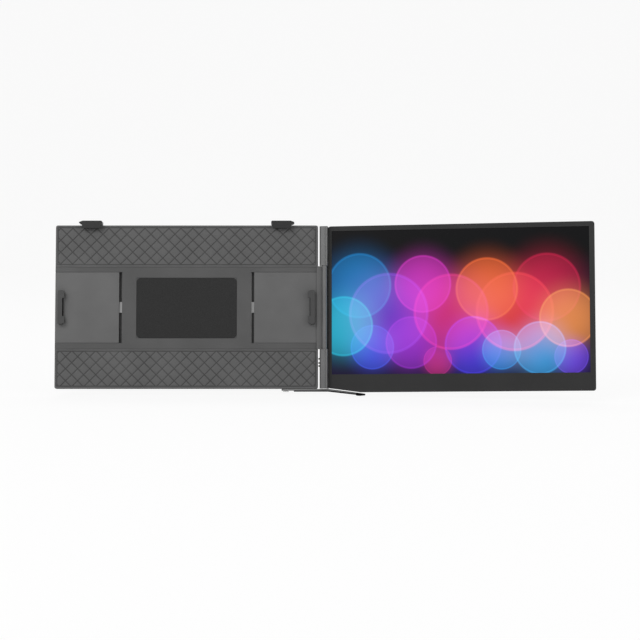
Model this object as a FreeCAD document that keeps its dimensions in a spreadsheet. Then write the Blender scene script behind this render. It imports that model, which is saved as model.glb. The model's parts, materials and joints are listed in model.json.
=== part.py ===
import FreeCAD, Part
import os
import re
import Sketcher
from FreeCAD import Placement, Rotation, Vector

# Screen extender: a back plate that clips behind a thin panel, with one hinged monitor on a sliding arm.
# Everything is drawn with the plate upright: X runs right, Y runs back, Z runs up the plate.
# Drawing starts at the bottom left corner of the plate's front face. The finished pieces all lean back
# by one angle, as the plate does in use, and the monitor's pieces are also swivelled on their hinge.
# The finished part has its origin at the middle of the cushion on the plate's front.

doc = FreeCAD.newDocument("ScreenExtender")
sizes = doc.addObject("Spreadsheet::Sheet", "Sizes")

DRIVING_SIZES = [
    ("lean_angle", 10.25), ("swivel_angle", 9.45),
    ("plate_width", 393), ("plate_height", 245), ("plate_depth", 11), ("plate_corner", 3),
    ("band_bottom", 59.4), ("band_top", 182), ("channel_bottom", 68.3), ("channel_top", 174.6),
    ("channel_length", 100), ("panel_thick", 2.4), ("skin_thick", 0.75),
    ("groove_pitch", 18), ("groove_width", 1.1), ("groove_depth", 0.4), ("border_inset", 3), ("cushion_proud", 0.5),
    ("wall", 2), ("tray_floor", 7), ("stand_recess", 8.6), ("leg_pin_y", 4.7), ("leg_pin_radius", 2),
    ("arm_length", 95.5), ("arm_play", 0.2), ("arm_shoulder", 2.4), ("flange_front", 2.6), ("flange_back", 4.2),
    ("jaw_bottom", 96), ("jaw_height", 51), ("jaw_inset", 4.6), ("jaw_width", 7), ("jaw_tab", 3),
    ("grip_depth", 8.8), ("lip_thick", 2.3),
    ("clip_inset", 35.5), ("clip_width", 34.5), ("clip_head", 5.4), ("clip_lip_drop", 6),
    ("axis_x", 402.8), ("axis_y", 5.6), ("knuckle_radius", 3.9), ("knuckle_bottom", 59), ("knuckle_top", 183.3), ("pin_radius", 1.6), ("pin_bore", 1.66), ("trim_line", 6.2),
    ("monitor_width", 395.3), ("monitor_height", 248.7), ("monitor_drop", 5.5), ("monitor_depth", 8.5),
    ("monitor_corner", 4), ("monitor_left", 407.44), ("monitor_front", 1.18),
    ("bezel_thick", 0.9), ("bezel_left", 5.5), ("bezel_bottom", 26.6),
    ("screen_width", 381.9), ("screen_height", 214.8),
    ("leg_pivot_x", 345), ("leg_bend_x", 409), ("leg_metal_end", 449.5), ("leg_tip_x", 463.5), ("leg_thick", 2.5),
    ("stand_width", 180), ("stand_height", 118), ("stand_bottom", 12),
]
for row, (alias, value) in enumerate(DRIVING_SIZES, start=1):
    sizes.set("A%d" % row, alias.replace("_", " "))
    sizes.set("B%d" % row, str(value))
    sizes.setAlias("B%d" % row, alias)
doc.recompute()

SIZE_WORDS = re.compile(r"(?<![\w.])(%s)\b" % "|".join(alias for alias, value in DRIVING_SIZES))
REFERENCE = Vector(sizes.plate_width / 2, -sizes.cushion_proud, (sizes.band_bottom + sizes.band_top) / 2)
LEAN_TURN = Rotation(Vector(1, 0, 0), -sizes.lean_angle)
LEAN = Placement(LEAN_TURN.multVec(REFERENCE) * -1, LEAN_TURN)
HINGE_POINT = Vector(sizes.axis_x, -sizes.axis_y, 0)
SWIVEL = Placement(Vector(), Rotation(Vector(0, 0, 1), -sizes.swivel_angle), HINGE_POINT)
finished = {}


# Small tools shared by every piece
def bound(text):
    """Turns a size written with sheet names into an expression that the document follows."""
    return SIZE_WORDS.sub(r"Sizes.\1", str(text))


def number(text):
    return float(sizes.evalExpression(bound(text)))


def finish(piece, label, on_monitor=False):
    piece.Label = label
    place = LEAN.multiply(SWIVEL) if on_monitor else LEAN
    piece.Placement = place.multiply(piece.Placement)
    finished[label] = piece
    return piece


def new_body(name):
    return doc.addObject("PartDesign::Body", name + "_body")


def plane_of(body, role):
    return next(item for item in body.Origin.OriginFeatures if item.Role == role)


def sketch_on(body, role, offset):
    """A sketch on the body's XZ, XY or YZ plane. XZ looks along -Y, so its offset counts backwards."""
    sketch = body.newObject("Sketcher::SketchObject", "outline")
    sketch.AttachmentSupport = [(plane_of(body, role), "")]
    sketch.MapMode = "FlatFace"
    sign = "-1 * " if role == "XZ_Plane" else ""
    sketch.setExpression(".AttachmentOffset.Base.z", bound(sign + "(%s)" % offset))
    return sketch


def fix_point(sketch, edge, end, x, y):
    for kind, value in (("DistanceX", x), ("DistanceY", y)):
        index = sketch.addConstraint(Sketcher.Constraint(kind, -1, 1, edge, end, number(value)))
        sketch.setExpression("Constraints[%d]" % index, bound(value))


def draw_polygon(sketch, corners):
    points = [Vector(number(x), number(y), 0) for x, y in corners]
    first = sketch.GeometryCount
    count = len(points)
    for index in range(count):
        sketch.addGeometry(Part.LineSegment(points[index], points[(index + 1) % count]), False)
    for index in range(count):
        following = first + (index + 1) % count
        sketch.addConstraint(Sketcher.Constraint("Coincident", first + index, 2, following, 1))
    for index, (x, y) in enumerate(corners):
        fix_point(sketch, first + index, 1, x, y)


def draw_rectangle(sketch, left, bottom, width, height):
    right = "(%s) + (%s)" % (left, width)
    top = "(%s) + (%s)" % (bottom, height)
    draw_polygon(sketch, [(left, bottom), (right, bottom), (right, top), (left, top)])


def draw_circle(sketch, x, y, radius):
    edge = sketch.addGeometry(Part.Circle(Vector(number(x), number(y), 0), Vector(0, 0, 1), number(radius)), False)
    fix_point(sketch, edge, 3, x, y)
    index = sketch.addConstraint(Sketcher.Constraint("Radius", edge, number(radius)))
    sketch.setExpression("Constraints[%d]" % index, bound(radius))


def extrude(body, kind, sketch, length, reverse):
    feature = body.newObject("PartDesign::" + kind, kind.lower())
    feature.Profile = sketch
    feature.Reversed = reverse
    feature.setExpression("Length", bound(length))
    body.Tip = feature
    doc.recompute()
    return feature


def pad_back(body, sketch, length):
    return extrude(body, "Pad", sketch, length, True)


def cut_back(body, sketch, length):
    before = body.Shape.Volume
    pocket = extrude(body, "Pocket", sketch, length, False)
    if body.Shape.Volume >= before - 1e-6:
        raise RuntimeError("a pocket in %s cuts nothing" % body.Name)
    return pocket


def pad_out(body, sketch, length):
    """A pad along the sketch plane's own direction: upwards from XY, to the right from YZ."""
    return extrude(body, "Pad", sketch, length, False)


def cut_out(body, sketch, length):
    before = body.Shape.Volume
    extrude(body, "Pocket", sketch, length, True)
    if body.Shape.Volume >= before - 1e-6:
        raise RuntimeError("a pocket in %s cuts nothing" % body.Name)


def round_edges(body, base, radius, chosen):
    """Fillets the edges whose middle point passes the test."""
    names = []
    for index, edge in enumerate(base.Shape.Edges, start=1):
        middle = edge.valueAt((edge.FirstParameter + edge.LastParameter) / 2)
        start, end = edge.firstVertex().Point, edge.lastVertex().Point
        if chosen(middle, (end - start)):
            names.append("Edge%d" % index)
    fillet = body.newObject("PartDesign::Fillet", "fillet")
    fillet.Base = (base, names)
    fillet.setExpression("Radius", bound(radius))
    body.Tip = fillet
    doc.recompute()
    return fillet


def along_y(step):
    return abs(step.x) < 1e-6 and abs(step.z) < 1e-6


def along_z(step):
    return abs(step.x) < 1e-6 and abs(step.y) < 1e-6


def slab(name, left, width, bottom, height, front, depth, corner=None, corners_at=None):
    """A plate whose outline is a rectangle on the front plane, with rounded corners where asked."""
    body = new_body(name)
    sketch = sketch_on(body, "XZ_Plane", front)
    draw_rectangle(sketch, left, bottom, width, height)
    base = pad_back(body, sketch, depth)
    if corner:
        def chosen(middle, step):
            return along_y(step) and (corners_at is None or corners_at(middle))
        base = round_edges(body, base, corner, chosen)
    return body, base


def block(name, left, width, front, depth, bottom, height):
    """A Part box whose sizes follow the sheet."""
    box = doc.addObject("Part::Box", name)
    for side, value in (("Length", width), ("Width", depth), ("Height", height)):
        box.setExpression(side, bound(value))
    box.Placement = Placement(Vector(number(left), number(front), number(bottom)), Rotation())
    return box


def rod(name, x, y, bottom, radius, height):
    """An upright Part cylinder."""
    cylinder = doc.addObject("Part::Cylinder", name)
    cylinder.setExpression("Radius", bound(radius))
    cylinder.setExpression("Height", bound(height))
    cylinder.Placement = Placement(Vector(number(x), number(y), number(bottom)), Rotation())
    return cylinder


def stud(name, x, front, z, radius, depth):
    """A Part cylinder that points backwards."""
    cylinder = doc.addObject("Part::Cylinder", name)
    cylinder.setExpression("Radius", bound(radius))
    cylinder.setExpression("Height", bound(depth))
    cylinder.Placement = Placement(Vector(number(x), number(front), number(z)), Rotation(Vector(1, 0, 0), -90))
    return cylinder


def joined(name, pieces):
    fuse = doc.addObject("Part::MultiFuse", name)
    fuse.Shapes = pieces
    return fuse


def cut_from(name, base, tool):
    cut = doc.addObject("Part::Cut", name)
    cut.Base = base
    cut.Tool = tool
    return cut


def group_of(name, pieces):
    compound = doc.addObject("Part::Compound", name)
    compound.Links = pieces
    return compound


BASE_SCREWS = [("12", "20"), ("plate_width - 12", "20"), ("12", "plate_height - 12"), ("plate_width / 3", "plate_height - 12"),
               ("plate_width * 2 / 3", "plate_height - 12"), ("plate_width - 12", "plate_height - 12"),
               ("plate_width / 2 - 93", "150"), ("plate_width / 2 + 93", "150")]


# Front panel: a moulded plate with a proud plain band, and a window at each end for the arms
def make_front_panel():
    body, base = slab("front_panel", 0, "plate_width", 0, "plate_height", "skin_thick + 0.05",
                      "panel_thick - skin_thick - 0.05", "plate_corner")
    band = sketch_on(body, "XZ_Plane", 0)
    draw_rectangle(band, 0, "band_bottom", "plate_width", "band_top - band_bottom")
    pad_back(body, band, "panel_thick")
    windows = sketch_on(body, "XZ_Plane", -1)
    for left in ("-2", "plate_width - channel_length"):
        draw_rectangle(windows, left, "channel_bottom", "channel_length + 2", "channel_top - channel_bottom")
    cut_back(body, windows, "panel_thick + 2")
    cushion_seat = sketch_on(body, "XZ_Plane", -1)
    draw_rectangle(cushion_seat, "plate_width / 2 - 75", "band_bottom + 16", 150, "band_top - band_bottom - 32")
    cut_back(body, cushion_seat, "1 + skin_thick")
    posts = sketch_on(body, "XZ_Plane", "panel_thick - 0.4")
    bores = sketch_on(body, "XZ_Plane", "panel_thick + 0.5")
    for x, z in BASE_SCREWS:
        draw_circle(posts, x, z, 2.8)
        draw_circle(bores, x, z, 1.25)
    pad_back(body, posts, 2.4)
    cut_back(body, bores, 3)
    finish(body, "base_front_panel")


# Grip skins: two textured sheets with a quilt of diagonal grooves inside a border groove
def make_grip_skin(label, bottom, height, rounded):
    body, base = slab(label, 0, "plate_width", bottom, height, 0, "skin_thick", "plate_corner", rounded)
    border = sketch_on(body, "XZ_Plane", -1)
    inset = "border_inset"
    draw_rectangle(border, inset, "(%s) + %s" % (bottom, inset), "plate_width - 2 * " + inset,
                   "(%s) - 2 * %s" % (height, inset))
    inner = inset + " + groove_width"
    draw_rectangle(border, inner, "(%s) + %s" % (bottom, inner), "plate_width - 2 * (%s)" % inner,
                   "(%s) - 2 * (%s)" % (height, inner))
    cut_back(body, border, "1 + groove_depth")
    low = "(%s) + border_inset + 1" % bottom
    rise = "((%s) - 2 * border_inset - 2)" % height
    half = "groove_width / 2 * 1.4142"
    room = number("plate_width - 2 * border_inset") - number(rise)
    pitch = number("groove_pitch")
    count = int(room // pitch)
    first = "border_inset + (plate_width - 2 * border_inset - %s - %d * groove_pitch) / 2" % (rise, count)
    for lean_x in (1, -1):
        groove = sketch_on(body, "XZ_Plane", -1)
        foot = first if lean_x == 1 else first + " + " + rise
        top = "%s + %d * %s" % (foot, lean_x, rise)
        draw_polygon(groove, [(foot + " - " + half, low), (foot + " + " + half, low),
                              (top + " + " + half, low + " + " + rise), (top + " - " + half, low + " + " + rise)])
        pocket = cut_back(body, groove, "1 + groove_depth")
        pattern = body.newObject("PartDesign::LinearPattern", "quilt")
        pattern.Originals = [pocket]
        pattern.Direction = (plane_of(body, "X_Axis"), [""])
        pattern.setExpression("Length", bound("%d * groove_pitch" % count))
        pattern.Occurrences = count + 1
        body.Tip = pattern
        doc.recompute()
    finish(body, label)


# Rest cushion: a foam pad that keeps what the plate is clipped to off the panel
def make_rest_cushion():
    body, base = slab("cushion", "plate_width / 2 - 74.8", 149.6, "band_bottom + 16.2",
                      "band_top - band_bottom - 32.4", "-cushion_proud", "skin_thick + cushion_proud - 0.05", 6)
    finish(body, "rest_cushion")


# Steel frame plate behind the panel, lightened by two rows of windows
def make_frame_plate():
    body, base = slab("frame", "wall + 0.4", "plate_width - 2 * wall - 0.8", 15, "plate_height - wall - 15.4",
                      4.5, 0.9, 2)
    for column in range(5):
        for row in range(2):
            hole = sketch_on(body, "XZ_Plane", 4)
            left = "plate_width / 2 - 151 + %d * 62" % column
            bottom = "%d" % (30 + row * 100)
            draw_rectangle(hole, left, bottom, 54, 84)
            cut_back(body, hole, 2)
    shanks = sketch_on(body, "XZ_Plane", 4)
    for x, z in BASE_SCREWS:
        draw_circle(shanks, x, z, 1.3)
    cut_back(body, shanks, 2)
    finish(body, "base_frame_plate")


# Rear cover: a tray with its walls, arm mouths, clip slots, the stand's recess and screw wells
def make_rear_cover():
    body, base = slab("rear", 0, "plate_width", 0, "plate_height", "panel_thick + 0.02",
                      "plate_depth - panel_thick - 0.02", "plate_corner")
    base = round_edges(body, base, 1.2, lambda middle, step: middle.y > number("plate_depth") - 1e-3)
    inside = sketch_on(body, "XZ_Plane", "panel_thick - 1")
    draw_rectangle(inside, "wall", "wall", "plate_width - 2 * wall", "plate_height - 2 * wall")
    cut_back(body, inside, "tray_floor - panel_thick + 1")
    mouths = sketch_on(body, "XZ_Plane", "panel_thick - 1")
    for left in ("-1", "plate_width - wall - 1"):
        draw_rectangle(mouths, left, "channel_bottom - 5.5", "wall + 2", "channel_top - channel_bottom + 11")
    cut_back(body, mouths, "flange_back - panel_thick + 1.2")
    slots = sketch_on(body, "XZ_Plane", "flange_back + 1.3")
    for left in ("clip_inset + 6", "plate_width - clip_inset - 28.5"):
        draw_rectangle(slots, left, "plate_height - wall - 1", 22.5, "wall + 2")
    cut_back(body, slots, 1.5)
    recess = sketch_on(body, "XZ_Plane", "stand_recess")
    draw_rectangle(recess, "(plate_width - stand_width) / 2 - 0.6", "stand_bottom - 0.6", "stand_width + 1.2",
                   "stand_height + 1.2")
    cut_back(body, recess, 5)
    notch = sketch_on(body, "XZ_Plane", "stand_recess")
    draw_rectangle(notch, "plate_width / 2 - 14", "stand_bottom - 8", 28, 9)
    cut_back(body, notch, 5)
    wells = sketch_on(body, "XZ_Plane", "plate_depth - 1.5")
    for x, z in BASE_SCREWS:
        draw_circle(wells, x, z, 2.6)
    cut_back(body, wells, 3)
    shanks = sketch_on(body, "XZ_Plane", "tray_floor - 1")
    for x, z in BASE_SCREWS:
        draw_circle(shanks, x, z, 1.35)
    cut_back(body, shanks, 6)
    pin_hole = sketch_on(body, "XY_Plane", -1)
    draw_circle(pin_hole, "leg_pivot_x", "leg_pin_y", "leg_pin_radius")
    cut_out(body, pin_hole, "wall + 2")
    finish(body, "base_rear_cover")


def make_base_screws():
    screws = []
    for index, (x, z) in enumerate(BASE_SCREWS):
        head = stud("head_%d" % index, x, "plate_depth - 1.45", z, 2.3, 1.2)
        shank = stud("shank_%d" % index, x, "panel_thick + 0.6", z, 1.25, "plate_depth - panel_thick - 2.05")
        screws.append(joined("screw_%d" % index, [head, shank]))
    finish(group_of("screws", screws), "base_screws")


# Nylon guide strips that the arms' flanges run between
def make_arm_guides():
    strips = []
    for left in ("wall + 0.5", "plate_width - channel_length - 4"):
        for bottom in ("channel_bottom - 8", "channel_top + 5.6"):
            strips.append(block("strip", left, "channel_length + 1.5", "panel_thick + 0.1", 1.7, bottom, 2.4))
    finish(group_of("guides", strips), "arm_guide_strips")


# Sliding arms: a plain front plate that fills the window, on a wider steel flange behind the panel
def mirrored(left, width, right_side):
    return "plate_width - (%s) - (%s)" % (left, width) if right_side else left


def make_arm(side):
    right_side = side == "right"
    body, base = slab(side + "_arm", mirrored("0", "arm_length", right_side), "arm_length", "channel_bottom + arm_play",
                      "channel_top - channel_bottom - 2 * arm_play", 0.15, "flange_front - 0.15")
    flange = sketch_on(body, "XZ_Plane", "flange_front")
    draw_rectangle(flange, mirrored("1", "arm_length - 1", right_side), "channel_bottom - 5.2", "arm_length - 1",
                   "channel_top - channel_bottom + 10.4")
    pad_back(body, flange, "flange_back - flange_front")
    if right_side:
        outer = sketch_on(body, "XZ_Plane", "-arm_shoulder")
        draw_rectangle(outer, "plate_width", "channel_bottom + arm_play", "axis_x - knuckle_radius - plate_width",
                       "channel_top - channel_bottom - 2 * arm_play")
        pad_back(body, outer, "flange_front + arm_shoulder")
        shoulder = sketch_on(body, "XZ_Plane", "-arm_shoulder")
        draw_rectangle(shoulder, "plate_width - 2", "knuckle_bottom", "axis_x - knuckle_radius - plate_width + 2",
                       "knuckle_top - knuckle_bottom")
        pad_back(body, shoulder, "arm_shoulder - 0.25")
    for row in range(3):
        slot = sketch_on(body, "XZ_Plane", "flange_front - 1")
        draw_rectangle(slot, mirrored("22", "48", right_side), "channel_bottom + 8 + %d * 33" % row, 48, 24)
        cut_back(body, slot, 4)
    finish(body, side + "_arm_plate")


# Side jaws: an upright block whose two tabs reach over the gripped edge, with a soft lining
def make_jaw(side):
    right_side = side == "right"
    body, base = slab(side + "_jaw", mirrored("jaw_inset", "jaw_width", right_side), "jaw_width", "jaw_bottom",
                      "jaw_height", "-grip_depth", "grip_depth + 0.15")

    def outer_edge(middle, step):
        limit = number("plate_width / 2")
        outside = middle.x > limit + 160 if right_side else middle.x < limit - 160
        far = abs(middle.x - limit) > limit - number("jaw_inset") - 0.01
        return outside and far and along_y(step)
    round_edges(body, base, 2.2, outer_edge)
    for bottom in ("jaw_bottom + 1", "jaw_bottom + jaw_height - 12"):
        tab = sketch_on(body, "XZ_Plane", "-grip_depth")
        draw_rectangle(tab, mirrored("jaw_inset + jaw_width - 0.5", "jaw_tab + 0.5", right_side), bottom,
                       "jaw_tab + 0.5", 11)
        pad_back(body, tab, "lip_thick")
    finish(body, side + "_jaw")
    pad = block(side + "_pad", mirrored("jaw_inset + jaw_width", "0.8", right_side), 0.8,
                "-grip_depth + lip_thick", "grip_depth - lip_thick + 0.15", "jaw_bottom + 2", "jaw_height - 4")
    finish(pad, side + "_jaw_pad")


# Top clips: a steel stem that slides in the cover, and a hooked head that reaches over the top edge
def make_top_clip(side):
    right_side = side == "right"
    body = new_body(side + "_clip")
    head = sketch_on(body, "XZ_Plane", "-grip_depth")
    low, high = "plate_height + 0.8", "plate_height + 0.8 + clip_head"
    inner, outer = "clip_inset + clip_width", "clip_inset"
    outline = [(outer, high + " - 3.4"), (outer + " + 5", low), (inner, low), (inner, high + " - 1.2"),
               (inner + " - 1.2", high), (outer + " + 5.5", high), (outer, high + " - 2")]
    if right_side:
        outline = [("plate_width - (%s)" % x, z) for x, z in reversed(outline)]
    draw_polygon(head, outline)
    pad_back(body, head, "grip_depth + 8.4")
    lip = sketch_on(body, "XZ_Plane", "-grip_depth")
    corners = [(outer + " + 4", low), (outer + " + 5", low + " - clip_lip_drop"),
               (inner + " - 3", low + " - clip_lip_drop"), (inner, low)]
    corners = [(x, z if z != low else low + " + 0.5") for x, z in corners]
    if right_side:
        corners = [("plate_width - (%s)" % x, z) for x, z in reversed(corners)]
    draw_polygon(lip, corners)
    pad_back(body, lip, "lip_thick")
    stem = sketch_on(body, "XZ_Plane", "flange_back + 1.45")
    draw_rectangle(stem, mirrored("clip_inset + 6.4", "21.7", right_side), "plate_height - 58", 21.7, "58 + 1.2")
    pad_back(body, stem, 1.2)
    finish(body, side + "_top_clip")
    pad = block(side + "_clip_lining", mirrored("clip_inset + 6", "26", right_side), 26, "-grip_depth + lip_thick",
                0.8, low + " - clip_lip_drop + 0.6", "clip_lip_drop - 0.6")
    finish(pad, side + "_clip_pad")


# Hinge: the arm's middle knuckle with two pins, between two barrels that belong to the monitor
def make_hinge_knuckle():
    body = new_body("knuckle")
    round_part = sketch_on(body, "XY_Plane", "knuckle_bottom")
    draw_circle(round_part, "axis_x", "-axis_y", "knuckle_radius")
    pad_out(body, round_part, "knuckle_top - knuckle_bottom")
    bridge = sketch_on(body, "XY_Plane", "knuckle_bottom")
    left, right = "axis_x - knuckle_radius", "axis_x"
    draw_polygon(bridge, [(left, "flange_front"), (left, "-axis_y"), (right, "-axis_y"),
                          (right, "-axis_y + knuckle_radius"), (left + " + 1.6", "-axis_y + knuckle_radius + 1.2"),
                          (left + " + 1.6", "flange_front")])
    pad_out(body, bridge, "knuckle_top - knuckle_bottom")
    seam = sketch_on(body, "XY_Plane", "knuckle_bottom - 1")
    draw_polygon(seam, [("axis_x + 1.1", "-axis_y - knuckle_radius - 1"), ("axis_x + 1.5", "-axis_y - knuckle_radius + 0.9"),
                        ("axis_x + 1.9", "-axis_y - knuckle_radius - 1")])
    cut_out(body, seam, "knuckle_top - knuckle_bottom + 2")
    for bottom in ("knuckle_bottom - 1", "knuckle_top - 24"):
        bore = sketch_on(body, "XY_Plane", bottom)
        draw_circle(bore, "axis_x", "-axis_y", "pin_radius")
        cut_out(body, bore, 25)
    finish(body, "hinge_knuckle")


def make_hinge_pins():
    lower = rod("lower_pin", "axis_x", "-axis_y", "band_bottom - 34", "pin_radius", 56)
    upper = rod("upper_pin", "axis_x", "-axis_y", "band_top - 22", "pin_radius", 56)
    finish(group_of("pins", [lower, upper]), "hinge_pins")


def make_friction_washers():
    rings = []
    for start in ("knuckle_bottom - 3.4", "knuckle_top + 0.4"):
        for index in range(3):
            bottom = "%s + %d * 1" % (start, index)
            ring = rod("washer", "axis_x", "-axis_y", bottom, 2.9, 0.9)
            rings.append(cut_from("ring", ring, rod("eye", "axis_x", "-axis_y", bottom, "pin_radius", 0.9)))
    finish(group_of("washers", rings), "hinge_friction_washers")


KEY_HEIGHTS = {"menu_key_up": "44.3", "menu_key_down": "38.1", "power_key": "33.6"}


def cut_key_slots(body, label):
    if label == "lower_hinge_barrel":
        keys = sketch_on(body, "XZ_Plane", "-axis_y - 1.3")
        for z in KEY_HEIGHTS.values():
            draw_rectangle(keys, "axis_x - 8.4", "%s - 1.3" % z, 3.4, 2.6)
        cut_back(body, keys, 2.6)


def make_barrel(label, bottom, height, mouth, blind, trim=False):
    """One barrel, or the black trim strip that forms its rounded left edge."""
    body = new_body(label + "_trim" if trim else label)
    profile = sketch_on(body, "XY_Plane", bottom)
    left, right = "axis_x - 7.4", "monitor_left"
    front, back = "-axis_y - 4.2", "-axis_y + 4.2"
    web_back = "-monitor_front + 6"
    draw_polygon(profile, [(left, front), (right, front), (right, web_back), (right + " - 2.6", web_back),
                           (right + " - 2.6", back), (left, back)])
    base = pad_out(body, profile, height)
    rounded = round_edges(body, base, 4.1, lambda middle, step: along_z(step) and middle.x < number(left) + 0.01)
    rounded = round_edges(body, rounded, 1.2, lambda middle, step: (along_z(step)
                          and middle.x > number(right) - 0.01 and middle.y < number(front) + 0.01))
    split = sketch_on(body, "XY_Plane", "(%s) - 1" % bottom)
    joint = "axis_x - trim_line"
    if trim:
        draw_rectangle(split, joint + " - 0.02", "-20", "20", "40")
    else:
        draw_rectangle(split, joint + " - 10", "-20", "10", "40")
    cut_out(body, split, "(%s) + 2" % height)
    if trim:
        cut_key_slots(body, label)
        finish(body, label.replace("hinge_barrel", "barrel_trim"), True)
        return
    seam = sketch_on(body, "XY_Plane", "(%s) - 1" % bottom)
    groove = "axis_x + 1.6"
    draw_polygon(seam, [(groove + " - 0.5", front + " - 1"), (groove, front + " + 0.8"), (groove + " + 0.5", front + " - 1")])
    cut_out(body, seam, "(%s) + 2" % height)
    bore = sketch_on(body, "XY_Plane", blind)
    draw_circle(bore, "axis_x", "-axis_y", "pin_bore")
    cut_out(body, bore, 36)
    seat = sketch_on(body, "XY_Plane", mouth)
    draw_circle(seat, "axis_x", "-axis_y", 3.05)
    cut_out(body, seat, 4)
    cut_key_slots(body, label)
    finish(body, label, True)


# Menu keys in the side of the lower barrel
def make_keys():
    for name, height in KEY_HEIGHTS.items():
        key = block(name + "_cap", "axis_x - 9.2", 3, "-axis_y - 1.1", 2.2, "%s - 1.1" % height, 2.2)
        finish(key, name, True)


# Monitor: bezel, screen, backlight tray, electronics and rear cover
def relieved_outline(grow=0):
    """The monitor's front outline. Its lower inner corner is cut on a slant so that it clears the leg."""
    left, bottom = "monitor_left + %s" % grow, "-monitor_drop + %s" % grow
    right = "monitor_left + monitor_width - %s" % grow
    top = "-monitor_drop + monitor_height - %s" % grow
    return [(left, "0.9 + %s" % grow), ("monitor_left + 48 + %s" % grow, bottom), (right, bottom), (right, top), (left, top)]


def make_bezel():
    body = new_body("bezel")
    outline = sketch_on(body, "XZ_Plane", "-monitor_front")
    draw_polygon(outline, relieved_outline())
    base = pad_back(body, outline, "bezel_thick")
    rounded = round_edges(body, base, "monitor_corner", lambda middle, step: along_y(step)
                          and (middle.z > 100 or middle.x > number("monitor_left") + 100))
    window = sketch_on(body, "XZ_Plane", "-monitor_front - 1")
    draw_rectangle(window, "monitor_left + bezel_left", "-monitor_drop + bezel_bottom", "screen_width", "screen_height")
    cut_back(body, window, "bezel_thick + 2")
    finish(body, "monitor_bezel", True)


def make_screen_stack():
    body, base = slab("screen", "monitor_left + bezel_left - 2", "screen_width + 4", "-monitor_drop + bezel_bottom - 2",
                      "screen_height + 4", "-monitor_front + bezel_thick + 0.05", 2.2)
    finish(body, "display_panel", True)
    tray, base = slab("tray", "monitor_left + bezel_left - 2", "screen_width - 1", "-monitor_drop + bezel_bottom - 2",
                      "screen_height + 4", "-monitor_front + bezel_thick + 2.3", 1.2)
    finish(tray, "backlight_tray", True)
    board = block("board", "monitor_left + 250", 118, "-monitor_front + bezel_thick + 3.7", 1.6, 6, 62)
    chips = [block("chip", "monitor_left + %d" % x, 12, "-monitor_front + bezel_thick + 5.3", 0.8, z, 12)
             for x, z in ((270, 20), (300, 40), (330, 20))]
    finish(joined("board_with_chips", [board] + chips), "driver_board", True)
    boxes = [block("speaker", "monitor_left + %d" % x, 46, "-monitor_front + bezel_thick + 0.3", 4.4, 0, 14)
             for x in (62, 184)]
    finish(group_of("speakers", boxes), "speakers", True)


def make_monitor_cover():
    body = new_body("monitor_cover")
    front = "-monitor_front + bezel_thick + 0.02"
    outline = sketch_on(body, "XZ_Plane", front)
    draw_polygon(outline, relieved_outline())
    base = pad_back(body, outline, "monitor_depth - bezel_thick - 0.02")
    corners = round_edges(body, base, "monitor_corner", lambda middle, step: along_y(step)
                          and (middle.z > 100 or middle.x > number("monitor_left") + 100))
    back = number("monitor_depth - monitor_front")
    round_edges(body, corners, 1.4, lambda middle, step: middle.y > back - 1e-3)
    lip = sketch_on(body, "XZ_Plane", "-axis_y + 7.2")
    draw_rectangle(lip, "monitor_left - 2", "knuckle_bottom - 0.3", 5, "knuckle_top - knuckle_bottom + 0.55")
    pad_back(body, lip, 1.6)
    inside = sketch_on(body, "XZ_Plane", "-monitor_front - 1")
    draw_polygon(inside, relieved_outline(2))
    cut_back(body, inside, "monitor_depth - 0.5")
    ports = sketch_on(body, "YZ_Plane", "monitor_left + monitor_width - 3")
    middle = "-monitor_front + 5"
    for bottom, length in PORT_PLACES:
        draw_rectangle(ports, middle + " - 1.8", bottom, 3.6, length)
    cut_out(body, ports, 5)
    for index in range(2):
        vents = sketch_on(body, "XZ_Plane", "monitor_depth - monitor_front - 3")
        left = "monitor_left + %d" % (66 + index * 122)
        draw_rectangle(vents, left, 4, 2.4, 8)
        slot = cut_back(body, vents, 5)
        row = body.newObject("PartDesign::LinearPattern", "grille")
        row.Originals = [slot]
        row.Direction = (plane_of(body, "X_Axis"), [""])
        row.Length = 36
        row.Occurrences = 10
        body.Tip = row
        doc.recompute()
    wells = sketch_on(body, "XZ_Plane", "monitor_depth - monitor_front - 1")
    for x, z in MONITOR_SCREWS:
        draw_circle(wells, x, z, 2.3)
    cut_back(body, wells, 3)
    finish(body, "monitor_rear_cover", True)


PORT_PLACES = [("30", "9.4"), ("46", "9.4"), ("62", "11.6")]
MONITOR_SCREWS = [("monitor_left + %s" % x, z) for x in ("14", "monitor_width - 14")
                  for z in ("14", "monitor_height - 22")]


def make_ports():
    depth = 7
    shells = []
    for index, (bottom, length) in enumerate(PORT_PLACES):
        left = "monitor_left + monitor_width - %d" % (depth + 1)
        shell = block("port", left, depth, "-monitor_front + 3.5", 3, bottom + " + 0.3", length + " - 0.6")
        hollow = block("mouth", left + " + 1.2", depth, "-monitor_front + 4", 2, bottom + " + 0.9", length + " - 1.8")
        shells.append(cut_from("port_shell_%d" % index, shell, hollow))
    finish(group_of("usb_shells", shells[:2]), "usb_c_ports", True)
    finish(shells[2], "hdmi_port", True)


def make_monitor_screws():
    heads = [stud("monitor_screw", x, "monitor_depth - monitor_front - 0.98", z, 2.1, 0.8) for x, z in MONITOR_SCREWS]
    finish(group_of("monitor_heads", heads), "monitor_screws", True)


def make_hinge_leaves():
    leaves = [block("leaf", "monitor_left + 2.1", 30, "-monitor_front + 5", 1.2, z, height)
              for z, height in (("band_top + 4", 30), ("22", 32))]
    finish(group_of("leaves", leaves), "hinge_leaves", True)


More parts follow.
